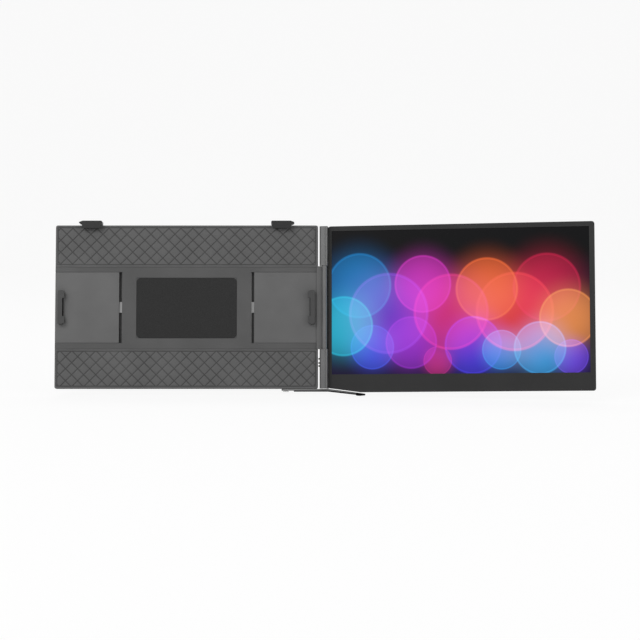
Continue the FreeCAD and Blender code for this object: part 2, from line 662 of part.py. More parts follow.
# Support leg: a steel bar on a rivet under the plate. It slopes down to a rubber tip and sole.
def make_leg():
    body = new_body("leg")
    plan = sketch_on(body, "XY_Plane", "-12.3")
    draw_polygon(plan, [("leg_pivot_x", 0.2), ("leg_metal_end", 0.2), ("leg_metal_end", 5.4), ("leg_pivot_x", 9.2)])
    pad_out(body, plan, 12)
    eye = sketch_on(body, "XY_Plane", "-0.3 - leg_thick")
    draw_circle(eye, "leg_pivot_x", "leg_pin_y", 6.4)
    pad_out(body, eye, "leg_thick")
    below = sketch_on(body, "XZ_Plane", -3)
    draw_polygon(below, [("leg_pivot_x - 1", "-14"), ("leg_pivot_x - 1", "-0.3 - leg_thick"),
                         ("leg_bend_x", "-0.3 - leg_thick"), ("leg_metal_end + 1", "-7.72"), ("leg_metal_end + 1", "-14")])
    cut_back(body, below, 16)
    above = sketch_on(body, "XZ_Plane", -3)
    draw_polygon(above, [("leg_bend_x", "-0.3"), ("leg_bend_x", "1"), ("leg_metal_end + 1", "1"),
                         ("leg_metal_end + 1", "-5.7")])
    cut_back(body, above, 16)
    bore = sketch_on(body, "XY_Plane", -6)
    draw_circle(bore, "leg_pivot_x", "leg_pin_y", "leg_pin_radius + 0.06")
    cut_out(body, bore, 8)
    finish(body, "support_leg")


def make_leg_rubber():
    body = new_body("sole")
    side = sketch_on(body, "XZ_Plane", 0.2)
    draw_polygon(side, [("leg_pivot_x + 12", "-0.3 - leg_thick"), ("leg_pivot_x + 12", "-1.8 - leg_thick"),
                        ("leg_bend_x - 1", "-1.8 - leg_thick"), ("leg_tip_x - 14", "-9"), ("leg_tip_x - 13", "-10.2"),
                        ("leg_tip_x - 8", "-10.5"), ("leg_tip_x", "-9.8"), ("leg_tip_x", "-7.5"),
                        ("leg_metal_end", "-5.6"), ("leg_metal_end", "-7.62"), ("leg_bend_x", "-0.3 - leg_thick")])
    pad_back(body, side, 4.9)
    finish(body, "leg_sole")


def make_leg_pin():
    shaft = rod("shaft", "leg_pivot_x", "leg_pin_y", -4.6, "leg_pin_radius", 12.4)
    head = rod("rivet_head", "leg_pivot_x", "leg_pin_y", -4.6, 4.2, 1.1)
    finish(joined("rivet", [shaft, head]), "leg_pivot_pin")
    socket = block("pivot_block", "leg_pivot_x - 8", 16, "panel_thick + 0.1", 4.5, "wall + 0.05", 11)
    bore = rod("socket_bore", "leg_pivot_x", "leg_pin_y", 0, "leg_pin_radius", 7.8)
    finish(cut_from("bored_block", socket, bore), "leg_pivot_block")


# Rear stand: a plate in a recess of the rear cover, hung on two pins that stand in ears
STAND_LEFT = "(plate_width - stand_width) / 2"
STAND_TOP = "stand_bottom + stand_height"
STAND_AXIS_Y = "plate_depth - 1.2"
STAND_AXIS_Z = STAND_TOP + " - 1.8"


def make_stand():
    body, base = slab("stand", STAND_LEFT, "stand_width", "stand_bottom + 3", "stand_height - 6.6",
                      "plate_depth - 2.2", 2)
    hollow = sketch_on(body, "XZ_Plane", "plate_depth - 0.8")
    draw_rectangle(hollow, STAND_LEFT + " + 16", "stand_bottom + 16", "stand_width - 32", "stand_height - 38")
    cut_back(body, hollow, 2)
    tube = sketch_on(body, "YZ_Plane", STAND_LEFT + " + 12")
    draw_circle(tube, STAND_AXIS_Y, STAND_AXIS_Z, 1.1)
    pad_out(body, tube, "stand_width - 24")
    neck = sketch_on(body, "XZ_Plane", "plate_depth - 2.2")
    draw_rectangle(neck, STAND_LEFT + " + 12", STAND_AXIS_Z + " - 2", "stand_width - 24", 1.6)
    pad_back(body, neck, 1.6)
    bore = sketch_on(body, "YZ_Plane", STAND_LEFT)
    draw_circle(bore, STAND_AXIS_Y, STAND_AXIS_Z, 0.56)
    cut_out(body, bore, "stand_width")
    finish(body, "kickstand")
    strip = block("strip", STAND_LEFT + " + 10", "stand_width - 20", "plate_depth - 2.2", 2, "stand_bottom", 3)
    finish(strip, "kickstand_foot_strip")
    ears = []
    for left in (STAND_LEFT + " + 0.2", STAND_LEFT + " + stand_width - 10.2"):
        ears.append(block("ear", left, 10, "stand_recess", 2.3, STAND_AXIS_Z + " - 1.4", 3))
    finish(group_of("ears", ears), "kickstand_ears")
    pins = []
    for index, left in enumerate((STAND_LEFT + " + 10.2", STAND_LEFT + " + stand_width - 22")):
        pin = doc.addObject("Part::Cylinder", "pin_%d" % index)
        pin.setExpression("Radius", "0.5")
        pin.setExpression("Height", "11.8")
        place = Vector(number(left), number(STAND_AXIS_Y), number(STAND_AXIS_Z))
        pin.Placement = Placement(place, Rotation(Vector(0, 1, 0), 90))
        pins.append(pin)
    finish(group_of("stand_pins", pins), "kickstand_pins")


# The pieces, in the order of assembly
make_front_panel()
make_grip_skin("upper_grip_skin", "band_top + 0.1", "plate_height - band_top - 0.1", lambda middle: middle.z > 200)
make_grip_skin("lower_grip_skin", "0", "band_bottom - 0.1", lambda middle: middle.z < 20)
make_rest_cushion()
make_frame_plate()
make_rear_cover()
make_base_screws()
make_arm_guides()
for side in ("left", "right"):
    make_arm(side)
    make_jaw(side)
    make_top_clip(side)
make_hinge_knuckle()
make_hinge_pins()
make_friction_washers()
BARRELS = [("lower_hinge_barrel", "0.1", "knuckle_bottom - 0.4", "knuckle_bottom - 3.8", "knuckle_bottom - 36.7"),
           ("upper_hinge_barrel", "knuckle_top + 0.3", "monitor_height - monitor_drop - knuckle_top - 0.7",
            "knuckle_top - 0.4", "knuckle_top - 0.4")]
for barrel in BARRELS:
    make_barrel(*barrel)
    make_barrel(*barrel, trim=True)
make_keys()
make_bezel()
make_screen_stack()
make_monitor_cover()
make_ports()
make_monitor_screws()
make_hinge_leaves()
make_leg()
make_leg_rubber()
make_leg_pin()
make_stand()
doc.recompute()

# Nothing is written unless every feature built and every piece is a sound solid
for item in doc.Objects:
    if "Invalid" in item.State or "Error" in item.State:
        raise RuntimeError("feature %s failed" % item.Name)
for label, piece in finished.items():
    if piece.Shape.isNull() or not piece.Shape.isValid() or not piece.Shape.Solids:
        raise RuntimeError("piece %s has no sound solid" % label)

os.makedirs("parts", exist_ok=True)
for label, piece in finished.items():
    piece.Shape.exportStep(os.path.join("parts", label + ".step"))
    print(label, len(piece.Shape.Solids), "solids", round(piece.Shape.Volume), "mm3")
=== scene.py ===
import json
import math

import bmesh
import bpy
from mathutils import Matrix, Vector

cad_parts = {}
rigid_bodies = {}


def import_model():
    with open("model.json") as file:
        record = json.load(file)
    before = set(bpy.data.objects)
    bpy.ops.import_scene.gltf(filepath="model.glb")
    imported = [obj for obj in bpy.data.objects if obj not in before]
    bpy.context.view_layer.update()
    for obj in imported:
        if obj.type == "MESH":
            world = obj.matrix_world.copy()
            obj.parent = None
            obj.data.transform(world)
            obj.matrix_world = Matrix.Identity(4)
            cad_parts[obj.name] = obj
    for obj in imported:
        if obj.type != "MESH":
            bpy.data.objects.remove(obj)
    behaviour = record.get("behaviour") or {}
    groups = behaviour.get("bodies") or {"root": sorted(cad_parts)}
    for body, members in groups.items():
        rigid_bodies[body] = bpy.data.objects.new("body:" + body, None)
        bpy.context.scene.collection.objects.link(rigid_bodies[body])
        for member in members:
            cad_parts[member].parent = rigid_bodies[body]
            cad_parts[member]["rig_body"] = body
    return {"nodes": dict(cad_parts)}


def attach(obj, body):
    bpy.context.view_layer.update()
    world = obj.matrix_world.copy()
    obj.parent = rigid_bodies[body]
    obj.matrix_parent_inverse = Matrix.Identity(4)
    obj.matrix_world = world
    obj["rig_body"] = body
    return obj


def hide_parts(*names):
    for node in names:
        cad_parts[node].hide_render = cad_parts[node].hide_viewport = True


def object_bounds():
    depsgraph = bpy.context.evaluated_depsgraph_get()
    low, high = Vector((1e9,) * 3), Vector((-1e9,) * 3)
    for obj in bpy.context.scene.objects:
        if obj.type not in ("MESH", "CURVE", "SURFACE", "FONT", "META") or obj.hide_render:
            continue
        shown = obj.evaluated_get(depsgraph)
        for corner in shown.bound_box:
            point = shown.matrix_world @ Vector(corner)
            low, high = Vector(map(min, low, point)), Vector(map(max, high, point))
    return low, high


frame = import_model()
cad_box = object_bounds()

# FRONT PANEL
# The moulded front plate of the back unit, in dark grey ABS with a proud plain band across its middle.
# The arm windows are open at both ends. Its edges are broken by the mould, never sharp.

LEAN = math.radians(10.25)
SWIVEL = math.radians(9.45)
REFERENCE = Vector((196.5, -0.5, 120.7))
PLATE = (Matrix.Scale(0.001, 4) @ Matrix.Rotation(-LEAN, 4, "X") @ Matrix.Translation(-REFERENCE))
HINGE_AXIS = Vector((402.8, -5.6, 0))
TURNED = Matrix.Translation(HINGE_AXIS) @ Matrix.Rotation(-SWIVEL, 4, "Z") @ Matrix.Translation(-HINGE_AXIS)
MONITOR = PLATE @ TURNED


def painted(red, green=None, blue=None):
    """A colour as seen on screen, 0 to 255, as the shader's own linear colour."""
    seen = (red, red, red) if green is None else (red, green, blue)
    return tuple((c / 255 / 12.92) if c < 10.3 else ((c / 255 + 0.055) / 1.055) ** 2.4 for c in seen) + (1.0,)


def link(tree, source, socket):
    tree.links.new(source, socket)


def calc(tree, operation, *terms):
    """One Math node. A term is a number or the socket of another node."""
    node = tree.nodes.new("ShaderNodeMath")
    node.operation = operation
    for socket, term in zip(node.inputs, terms):
        if isinstance(term, (int, float)):
            socket.default_value = term
        else:
            link(tree, term, socket)
    return node.outputs[0]


def new_finish(name, roughness, metallic=0.0, specular=0.5):
    """A material with its Principled shader, and the object coordinates that its grain is laid in."""
    material = bpy.data.materials.new(name)
    material.use_nodes = True
    tree = material.node_tree
    shader = tree.nodes["Principled BSDF"]
    shader.inputs["Roughness"].default_value = roughness
    shader.inputs["Metallic"].default_value = metallic
    shader.inputs["Specular IOR Level"].default_value = specular
    coords = tree.nodes.new("ShaderNodeTexCoord").outputs["Object"]
    return material, tree, shader, coords


def noise(tree, coords, scale, detail=3.0, roughness=0.5, stretch=None):
    """Noise with a number of cells per metre, drawn out along one direction where stretch is given."""
    if stretch:
        mapping = tree.nodes.new("ShaderNodeMapping")
        mapping.inputs["Scale"].default_value = stretch
        link(tree, coords, mapping.inputs["Vector"])
        coords = mapping.outputs["Vector"]
    node = tree.nodes.new("ShaderNodeTexNoise")
    node.inputs["Scale"].default_value = scale
    node.inputs["Detail"].default_value = detail
    node.inputs["Roughness"].default_value = roughness
    link(tree, coords, node.inputs["Vector"])
    return node.outputs["Fac"]


def ramp(tree, value, stops):
    node = tree.nodes.new("ShaderNodeValToRGB")
    while len(node.color_ramp.elements) < len(stops):
        node.color_ramp.elements.new(0.5)
    for element, (place, colour) in zip(node.color_ramp.elements, stops):
        element.position = place
        element.color = colour
    link(tree, value, node.inputs["Fac"])
    return node.outputs["Color"]


def bump(tree, shader, height, strength, distance):
    node = tree.nodes.new("ShaderNodeBump")
    node.inputs["Strength"].default_value = strength
    node.inputs["Distance"].default_value = distance
    link(tree, height, node.inputs["Height"])
    link(tree, node.outputs["Normal"], shader.inputs["Normal"])


def moulded_plastic(name, grey, roughness=0.5, grain=1800, relief=0.25, gloss=0.3):
    """Spark-eroded grain from the mould, faint cloudiness from the flow of the melt, and handled patches."""
    material, tree, shader, coords = new_finish(name, roughness, 0.0, gloss)
    cloud = noise(tree, coords, 14, 2.0)
    colour = ramp(tree, cloud, [(0.3, painted(grey * 0.94)), (0.7, painted(grey * 1.05))])
    link(tree, colour, shader.inputs["Base Color"])
    pits = noise(tree, coords, grain, 4.0, 0.6)
    bump(tree, shader, pits, relief, 0.0002)
    rubbed = calc(tree, "MULTIPLY_ADD", noise(tree, coords, 45, 3.0), 0.16, roughness - 0.08)
    link(tree, rubbed, shader.inputs["Roughness"])
    return material


def painted_metal(name, grey, roughness=0.38):
    """Thin satin paint on sheet metal: a fine orange peel and a slight drift in the gloss."""
    material, tree, shader, coords = new_finish(name, roughness, 0.25, 0.5)
    drift = noise(tree, coords, 22, 2.0)
    colour = ramp(tree, drift, [(0.3, painted(grey * 0.96)), (0.7, painted(grey * 1.04))])
    link(tree, colour, shader.inputs["Base Color"])
    bump(tree, shader, noise(tree, coords, 900, 2.0), 0.12, 0.0002)
    rubbed = calc(tree, "MULTIPLY_ADD", noise(tree, coords, 120, 3.0), 0.14, roughness - 0.07)
    link(tree, rubbed, shader.inputs["Roughness"])
    return material


def wear_finish(piece, material):
    piece.data.materials.clear()
    piece.data.materials.append(material)


def settle(piece, body, slot, *nodes):
    """The piece rides on its body and stands for the nodes that are named. Its slot is not used."""
    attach(piece, body)
    if nodes:
        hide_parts(*nodes)


def eased(node, name, edge, material, slot, steps=2, sharp=35):
    """A copy of a solid with its sharp edges broken by a small radius, as moulds and presses leave them."""
    source = frame["nodes"][node]
    shell = bmesh.new()
    shell.from_mesh(source.data)
    bmesh.ops.remove_doubles(shell, verts=shell.verts, dist=2e-6)
    bmesh.ops.dissolve_limit(shell, angle_limit=math.radians(0.8), verts=shell.verts, edges=shell.edges)
    corners = [e for e in shell.edges if e.is_manifold and e.calc_face_angle(0.0) > math.radians(sharp)]
    bmesh.ops.bevel(shell, geom=corners, offset=edge, segments=steps, profile=0.5, affect="EDGES",
                    clamp_overlap=False)
    mesh = bpy.data.meshes.new(name)
    shell.to_mesh(mesh)
    shell.free()
    mesh.shade_smooth()
    mesh.set_sharp_from_angle(angle=math.radians(50))
    piece = bpy.data.objects.new(name, mesh)
    bpy.context.scene.collection.objects.link(piece)
    wear_finish(piece, material)
    even = piece.modifiers.new("even_faces", "WEIGHTED_NORMAL")
    even.keep_sharp = True
    settle(piece, source["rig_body"], slot, node)
    return piece


panel_plastic = moulded_plastic("dark_grey_abs", 78, 0.52, 1500, 0.3)
eased("base_front_panel", "front_panel", 0.0003, panel_plastic, "panel_plastic")

# GRIP SKINS
# Two textured sheets, pressed with a quilt of diagonal grooves inside a border groove and glued to the panel.
# The top sheet has its outer corners rounded at the top, the bottom sheet at the bottom.

SKIN_WIDTH = 0.393
SKIN_RIM = 0.0007


def quilt_tree():
    """Geometry Nodes: a grid sunk along two families of diagonal lines and along a border line."""
    tree = bpy.data.node_groups.new("pressed_quilt", "GeometryNodeTree")
    sizes = {"Width": 0.393, "Height": 0.06, "Pitch": 0.018, "Groove Width": 0.0013, "Groove Depth": 0.0005,
             "Border": 0.0035, "Corner": 0.003, "Rounded Side": 1.0, "Thickness": 0.0007}
    for label, value in sizes.items():
        tree.interface.new_socket(label, in_out="INPUT", socket_type="NodeSocketFloat").default_value = value
    tree.interface.new_socket("Finish", in_out="INPUT", socket_type="NodeSocketMaterial")
    tree.interface.new_socket("Skin", in_out="OUTPUT", socket_type="NodeSocketGeometry")
    given = tree.nodes.new("NodeGroupInput").outputs
    grid = tree.nodes.new("GeometryNodeMeshGrid")
    link(tree, given["Width"], grid.inputs["Size X"])
    link(tree, given["Height"], grid.inputs["Size Y"])
    grid.inputs["Vertices X"].default_value = 700
    grid.inputs["Vertices Y"].default_value = 110
    place = tree.nodes.new("ShaderNodeSeparateXYZ")
    link(tree, tree.nodes.new("GeometryNodeInputPosition").outputs[0], place.inputs[0])
    x, y = place.outputs["X"], place.outputs["Y"]

    def to_line(along):
        turns = calc(tree, "FRACT", calc(tree, "ADD", calc(tree, "DIVIDE", along, given["Pitch"]), 100.5))
        return calc(tree, "MULTIPLY", calc(tree, "ABSOLUTE", calc(tree, "SUBTRACT", turns, 0.5)),
                    calc(tree, "MULTIPLY", given["Pitch"], 0.7071))

    diagonals = calc(tree, "MINIMUM", to_line(calc(tree, "SUBTRACT", x, y)), to_line(calc(tree, "ADD", x, y)))
    half_width = calc(tree, "MULTIPLY", given["Width"], 0.5)
    half_height = calc(tree, "MULTIPLY", given["Height"], 0.5)
    to_edge = calc(tree, "MINIMUM", calc(tree, "SUBTRACT", half_width, calc(tree, "ABSOLUTE", x)),
                   calc(tree, "SUBTRACT", half_height, calc(tree, "ABSOLUTE", y)))
    to_border = calc(tree, "SUBTRACT", to_edge, given["Border"])
    outside = calc(tree, "LESS_THAN", to_border, 0.0)
    quilted = calc(tree, "MULTIPLY_ADD", outside, 1.0, diagonals)
    distance = calc(tree, "MINIMUM", quilted, calc(tree, "ABSOLUTE", to_border))

    def slope(reach):
        fall = tree.nodes.new("ShaderNodeMapRange")
        fall.interpolation_type = "SMOOTHSTEP"
        link(tree, distance, fall.inputs["Value"])
        link(tree, reach, fall.inputs["From Max"])
        fall.inputs["To Min"].default_value = 1.0
        fall.inputs["To Max"].default_value = 0.0
        return fall.outputs["Result"]

    groove = slope(given["Groove Width"])
    pillow = slope(calc(tree, "MULTIPLY", given["Groove Width"], 3.4))
    sunk = calc(tree, "MULTIPLY", calc(tree, "MULTIPLY_ADD", pillow, 0.3, groove), given["Groove Depth"])
    rim = calc(tree, "LESS_THAN", to_edge, 0.00005)
    depth = calc(tree, "MAXIMUM", sunk, calc(tree, "MULTIPLY", rim, given["Thickness"]))
    height = calc(tree, "MULTIPLY", calc(tree, "MINIMUM", depth, given["Thickness"]), -1.0)

    upward = calc(tree, "MULTIPLY", y, given["Rounded Side"])
    across = calc(tree, "SUBTRACT", calc(tree, "ABSOLUTE", x),
                  calc(tree, "SUBTRACT", half_width, given["Corner"]))
    above = calc(tree, "SUBTRACT", upward, calc(tree, "SUBTRACT", half_height, given["Corner"]))
    in_corner = calc(tree, "MULTIPLY", calc(tree, "GREATER_THAN", across, 0.0),
                     calc(tree, "GREATER_THAN", above, 0.0))
    reach = calc(tree, "SQRT", calc(tree, "ADD", calc(tree, "MULTIPLY", across, across),
                                    calc(tree, "MULTIPLY", above, above)))
    pull = calc(tree, "DIVIDE", calc(tree, "MAXIMUM", across, above), calc(tree, "MAXIMUM", reach, 1e-6))
    loss = calc(tree, "MULTIPLY", in_corner, calc(tree, "SUBTRACT", 1.0, pull))
    shift_x = calc(tree, "MULTIPLY", calc(tree, "MULTIPLY", across, loss),
                   calc(tree, "MULTIPLY", calc(tree, "SIGN", x), -1.0))
    shift_y = calc(tree, "MULTIPLY", calc(tree, "MULTIPLY", above, loss),
                   calc(tree, "MULTIPLY", given["Rounded Side"], -1.0))
    offset = tree.nodes.new("ShaderNodeCombineXYZ")
    for value, axis in ((shift_x, "X"), (shift_y, "Y"), (height, "Z")):
        link(tree, value, offset.inputs[axis])
    mark = tree.nodes.new("GeometryNodeStoreNamedAttribute")
    mark.data_type = "FLOAT"
    mark.inputs["Name"].default_value = "groove"
    link(tree, grid.outputs["Mesh"], mark.inputs["Geometry"])
    link(tree, groove, mark.inputs["Value"])
    press = tree.nodes.new("GeometryNodeSetPosition")
    link(tree, mark.outputs["Geometry"], press.inputs["Geometry"])
    link(tree, offset.outputs[0], press.inputs["Offset"])
    smooth = tree.nodes.new("GeometryNodeSetShadeSmooth")
    link(tree, press.outputs["Geometry"], smooth.inputs["Geometry"])
    real = tree.nodes.new("GeometryNodeRealizeInstances")
    link(tree, smooth.outputs["Geometry"], real.inputs["Geometry"])
    finish = tree.nodes.new("GeometryNodeSetMaterial")
    link(tree, real.outputs["Geometry"], finish.inputs["Geometry"])
    link(tree, given["Finish"], finish.inputs["Material"])
    link(tree, finish.outputs["Geometry"], tree.nodes.new("NodeGroupOutput").inputs["Skin"])
    return tree


def grown(tree, name, settings, place, start=None):
    """Runs a tree with these named inputs and returns its result as a plain mesh piece in its place."""
    seed = bpy.data.objects.new(name + "_seed", start or bpy.data.meshes.new(name + "_seed"))
    bpy.context.scene.collection.objects.link(seed)
    modifier = seed.modifiers.new("grow", "NODES")
    modifier.node_group = tree
    for item in tree.interface.items_tree:
        if item.item_type == "SOCKET" and item.in_out == "INPUT" and item.name in settings:
            modifier[item.identifier] = settings[item.name]
    seed.update_tag()
    bpy.context.view_layer.update()
    mesh = bpy.data.meshes.new_from_object(seed.evaluated_get(bpy.context.evaluated_depsgraph_get()))
    mesh.name = name
    seed.modifiers.remove(modifier)
    bpy.data.objects.remove(seed)
    mesh.transform(place)
    piece = bpy.data.objects.new(name, mesh)
    bpy.context.scene.collection.objects.link(piece)
    return piece


def quilted_skin_finish():
    """Dark grey pressed sheet with a fine pebble, its grooves darker where they hold the shade."""
    material, tree, shader, coords = new_finish("pebbled_grip_sheet", 0.6)
    groove = tree.nodes.new("ShaderNodeAttribute")
    groove.attribute_name = "groove"
    pebble = tree.nodes.new("ShaderNodeTexVoronoi")
    pebble.inputs["Scale"].default_value = 950
    link(tree, coords, pebble.inputs["Vector"])
    cloud = noise(tree, coords, 18, 3.0)
    tone = calc(tree, "MULTIPLY_ADD", cloud, 0.5, 0.25)
    tone = calc(tree, "SUBTRACT", tone, calc(tree, "MULTIPLY", groove.outputs["Fac"], 0.5))
    colour = ramp(tree, tone, [(0.0, painted(36)), (0.36, painted(72)), (0.7, painted(86))])
    link(tree, colour, shader.inputs["Base Color"])
    bump(tree, shader, pebble.outputs["Distance"], 0.5, 0.00025)
    return material


quilt = quilt_tree()
skin_finish = quilted_skin_finish()
FACE_FRONT = Matrix(((1, 0, 0, 0), (0, 0, -1, 0), (0, 1, 0, 0), (0, 0, 0, 1)))
for node, name, bottom, top, rounded in (("upper_grip_skin", "upper_quilt", 182.1, 245.0, 1.0),
                                         ("lower_grip_skin", "lower_quilt", 0.0, 59.3, -1.0)):
    middle = Matrix.Translation(Vector((196.5, 0.0, (bottom + top) / 2)))
    skin = grown(quilt, name, {"Width": SKIN_WIDTH, "Height": (top - bottom) / 1000, "Rounded Side": rounded,
                               "Thickness": SKIN_RIM, "Finish": skin_finish},
                 PLATE @ middle @ FACE_FRONT @ Matrix.Scale(1000, 4))
    settle(skin, "base", "textured_plastic", node)

# REST CUSHION
# A die-cut pad of black closed-cell foam, stuck into a shallow seat in the middle of the plain band.
# The cut presses its edge over into a soft round.


def foam_finish():
    material, tree, shader, coords = new_finish("closed_cell_foam", 0.9, 0.0, 0.25)
    cells = tree.nodes.new("ShaderNodeTexVoronoi")
    cells.inputs["Scale"].default_value = 1300
    link(tree, coords, cells.inputs["Vector"])
    colour = ramp(tree, cells.outputs["Distance"], [(0.0, painted(30)), (0.6, painted(47))])
    link(tree, colour, shader.inputs["Base Color"])
    bump(tree, shader, cells.outputs["Distance"], 0.6, 0.0003)
    return material


cushion = eased("rest_cushion", "foam_cushion", 0.0005, foam_finish(), "cushion_foam", 5)

# INNER FRAME
# A zinc-plated steel sheet with two rows of windows carries the load behind the panel.
# Four natural nylon strips beside it guide the sliding arms.


def plated_steel(name, grey, stretch=(1, 1, 12), metallic=1.0):
    """Rolled and plated steel: a fine grain along the rolling direction."""
    material, tree, shader, coords = new_finish(name, 0.34, metallic)
    rolled = noise(tree, coords, 420, 4.0, 0.6, stretch)
    colour = ramp(tree, rolled, [(0.3, painted(grey * 0.9)), (0.7, painted(grey * 1.06))])
    link(tree, colour, shader.inputs["Base Color"])
    link(tree, calc(tree, "MULTIPLY_ADD", rolled, 0.2, 0.24), shader.inputs["Roughness"])
    bump(tree, shader, rolled, 0.08, 0.0001)
    return material


def dress_node(node, material):
    """A solid that stays as it is and gets its finish."""
    for place in frame["nodes"][node].material_slots:
        place.material = material


zinc = plated_steel("zinc_plated_sheet", 140, (12, 1, 1))
dress_node("base_frame_plate", zinc)
dress_node("arm_guide_strips", moulded_plastic("natural_nylon", 214, 0.42, 900, 0.1))

# REAR COVER AND ITS SCREWS
# A deep moulded tray closes the back. It has a recess for the stand and eight countersunk wells.
# Black zinc cross-head screws stand in the wells and pull the cover against the panel's posts.

cover_plastic = moulded_plastic("cover_grey_abs", 66, 0.5, 1700, 0.35)
eased("base_rear_cover", "rear_cover", 0.00025, cover_plastic, "cover_metal")


def screw_tree():
    """Geometry Nodes: a domed head with a cross recess on each vertex of the seed, on a plain shank."""
    tree = bpy.data.node_groups.new("cross_head_screws", "GeometryNodeTree")
    tree.interface.new_socket("Places", in_out="INPUT", socket_type="NodeSocketGeometry")
    for label, value in (("Head Radius", 2.3), ("Head Height", 1.2), ("Shank Radius", 1.2),
                         ("Shank Length", 6.0), ("Recess Width", 0.55), ("Recess Depth", 0.7)):
        tree.interface.new_socket(label, in_out="INPUT", socket_type="NodeSocketFloat").default_value = value
    tree.interface.new_socket("Finish", in_out="INPUT", socket_type="NodeSocketMaterial")
    tree.interface.new_socket("Screws", in_out="OUTPUT", socket_type="NodeSocketGeometry")
    given = tree.nodes.new("NodeGroupInput").outputs

    def round_bar(radius, top_radius, length, rise=None):
        bar = tree.nodes.new("GeometryNodeMeshCone")
        bar.inputs["Vertices"].default_value = 28
        link(tree, radius, bar.inputs["Radius Bottom"])
        link(tree, top_radius, bar.inputs["Radius Top"])
        link(tree, length, bar.inputs["Depth"])
        lift = tree.nodes.new("GeometryNodeTransform")
        place = tree.nodes.new("ShaderNodeCombineXYZ")
        if rise is not None:
            link(tree, rise, place.inputs["Z"])
        link(tree, place.outputs[0], lift.inputs["Translation"])
        link(tree, bar.outputs["Mesh"], lift.inputs["Geometry"])
        return lift.outputs["Geometry"]

    base = calc(tree, "MULTIPLY", given["Head Height"], 0.6)
    crown = calc(tree, "MULTIPLY", given["Head Height"], 0.4)
    narrow = calc(tree, "MULTIPLY", given["Head Radius"], 0.8)
    lower = round_bar(given["Head Radius"], given["Head Radius"], base)
    upper = round_bar(given["Head Radius"], narrow, crown, base)
    bars = []
    for turn in (0.0, math.pi / 2):
        bar = tree.nodes.new("GeometryNodeMeshCube")
        size = tree.nodes.new("ShaderNodeCombineXYZ")
        link(tree, given["Recess Width"], size.inputs["X"])
        link(tree, given["Head Radius"], size.inputs["Y"])
        link(tree, calc(tree, "MULTIPLY", given["Recess Depth"], 2.0), size.inputs["Z"])
        link(tree, size.outputs[0], bar.inputs["Size"])
        put = tree.nodes.new("GeometryNodeTransform")
        put.inputs["Rotation"].default_value = (0, 0, turn)
        place = tree.nodes.new("ShaderNodeCombineXYZ")
        link(tree, given["Head Height"], place.inputs["Z"])
        link(tree, place.outputs[0], put.inputs["Translation"])
        link(tree, bar.outputs["Mesh"], put.inputs["Geometry"])
        bars.append(put.outputs["Geometry"])
    head = tree.nodes.new("GeometryNodeMeshBoolean")
    head.operation = "UNION"
    link(tree, lower, head.inputs["Mesh 2"])
    link(tree, upper, head.inputs["Mesh 2"])
    cross = tree.nodes.new("GeometryNodeMeshBoolean")
    cross.operation = "DIFFERENCE"
    link(tree, head.outputs["Mesh"], cross.inputs["Mesh 1"])
    for bar in bars:
        link(tree, bar, cross.inputs["Mesh 2"])
    shank = round_bar(given["Shank Radius"], given["Shank Radius"], given["Shank Length"],
                      calc(tree, "MULTIPLY", given["Shank Length"], -1.0))
    screw = tree.nodes.new("GeometryNodeJoinGeometry")
    link(tree, cross.outputs["Mesh"], screw.inputs[0])
    link(tree, shank, screw.inputs[0])
    spread = tree.nodes.new("GeometryNodeInstanceOnPoints")
    link(tree, given["Places"], spread.inputs["Points"])
    link(tree, screw.outputs[0], spread.inputs["Instance"])
    real = tree.nodes.new("GeometryNodeRealizeInstances")
    link(tree, spread.outputs["Instances"], real.inputs["Geometry"])
    finish = tree.nodes.new("GeometryNodeSetMaterial")
    link(tree, real.outputs["Geometry"], finish.inputs["Geometry"])
    link(tree, given["Finish"], finish.inputs["Material"])
    link(tree, finish.outputs["Geometry"], tree.nodes.new("NodeGroupOutput").inputs["Screws"])
    return tree


screws = screw_tree()
black_zinc = plated_steel("black_zinc", 58, (1, 1, 1), 0.85)
FACE_BACK = Matrix(((1, 0, 0, 0), (0, 0, 1, 0), (0, -1, 0, 0), (0, 0, 0, 1)))


def drive_screws(name, places, seat, head, shank_length, place, body, node):
    """Screws whose heads face backwards at these places across and up, with their undersides at the seat."""
    marks = bpy.data.meshes.new(name + "_places")
    marks.from_pydata([(x, -z, 0.0) for x, z in places], [], [])
    large = head > 2.2
    settings = {"Head Radius": head, "Shank Length": shank_length, "Head Height": 1.2 if large else 0.8,
                "Recess Depth": 0.7 if large else 0.45, "Finish": black_zinc}
    group = grown(screws, name, settings, place @ Matrix.Translation(Vector((0, seat, 0))) @ FACE_BACK, marks)
    settle(group, body, "screw_steel", node)


BASE_SCREWS = [(12, 20), (381, 20), (12, 233), (131, 233), (262, 233), (381, 233), (103.5, 150), (289.5, 150)]
drive_screws("cover_screws", BASE_SCREWS, 9.55, 2.3, 6.5, PLATE, "base", "base_screws")

# SLIDING ARMS AND JAWS
# A satin painted steel plate at each side slides in the nylon guides behind the panel.
# A moulded jaw is riveted to each plate, and its two tabs reach over the edge that it grips.

arm_paint = painted_metal("satin_arm_paint", 88)
jaw_plastic = moulded_plastic("jaw_grey_nylon", 62, 0.45, 1600, 0.25)
for side in ("left", "right"):
    eased(side + "_arm_plate", side + "_arm", 0.0003, arm_paint, "arm_metal")
    eased(side + "_jaw", side + "_side_jaw", 0.0004, jaw_plastic, "jaw_plastic", 3)

# JAW AND CLIP LININGS
# Strips of soft black rubber line the jaws and the clips, cut from one extruded profile and glued in.
# Fine ribs across each strip stop what it grips from slipping.


